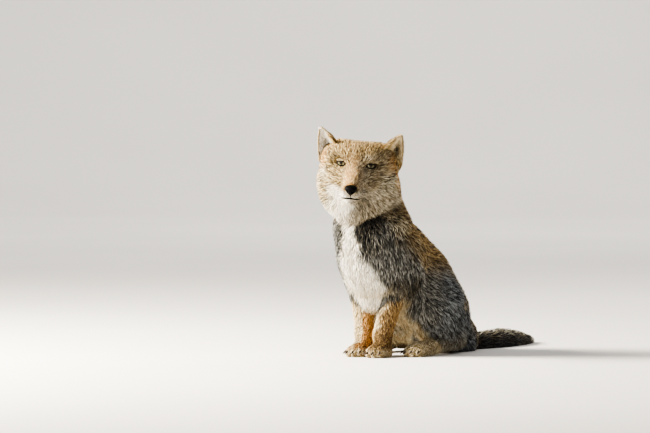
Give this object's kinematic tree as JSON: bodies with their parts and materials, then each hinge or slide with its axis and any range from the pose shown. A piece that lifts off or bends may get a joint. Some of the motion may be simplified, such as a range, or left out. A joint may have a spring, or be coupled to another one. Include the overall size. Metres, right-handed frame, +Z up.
{
  "type": "tibetan sand fox, sitting",
  "caption": "Life-size still model of a Tibetan sand fox in winter coat, sitting upright on its haunches with its head turned to its left.",
  "frame": {"origin": "on the floor, under the middle of the whole model's bounding box", "axes": "+Z up from the floor; the body faces -Y with the tail towards +Y; +X is the fox's left side"},
  "size_m": [0.191, 0.6554, 0.4088],
  "materials": {
    "sand_coat": "long dense winter coat, sandy buff with dark hair tips",
    "grey_coat": "long dense winter coat, slate grey with pale and black hair tips",
    "pale_coat": "dense cream-white coat",
    "dark_coat": "long brush hair, blackish with a silvery top and a pale tip",
    "eye": "wet and glossy, pale olive iris with a dark pupil",
    "nose_leather": "fine-grained black leather, slightly moist",
    "claw_horn": "dark horn, satin"
  },
  "bodies": {
    "root": {"head": "sand_coat", "face": "sand_coat", "ear_left": "sand_coat", "ear_right": "sand_coat", "forepaw_left": "sand_coat", "forepaw_right": "sand_coat", "neck": "grey_coat", "trunk": "grey_coat", "foreleg_left": "grey_coat", "foreleg_right": "grey_coat", "thigh_left": "grey_coat", "thigh_right": "grey_coat", "lower_jaw": "pale_coat", "hindfoot_left": "pale_coat", "hindfoot_right": "pale_coat", "tail_root": "dark_coat", "tail_brush": "dark_coat", "eye_left": "eye", "eye_right": "eye", "nose": "nose_leather", "foreclaw_left_1": "claw_horn", "foreclaw_left_2": "claw_horn", "foreclaw_left_3": "claw_horn", "foreclaw_left_4": "claw_horn", "foreclaw_right_1": "claw_horn", "foreclaw_right_2": "claw_horn", "foreclaw_right_3": "claw_horn", "foreclaw_right_4": "claw_horn", "hindclaw_left_1": "claw_horn", "hindclaw_left_2": "claw_horn", "hindclaw_left_3": "claw_horn", "hindclaw_left_4": "claw_horn", "hindclaw_right_1": "claw_horn", "hindclaw_right_2": "claw_horn", "hindclaw_right_3": "claw_horn", "hindclaw_right_4": "claw_horn"}
  },
  "joints": []
}
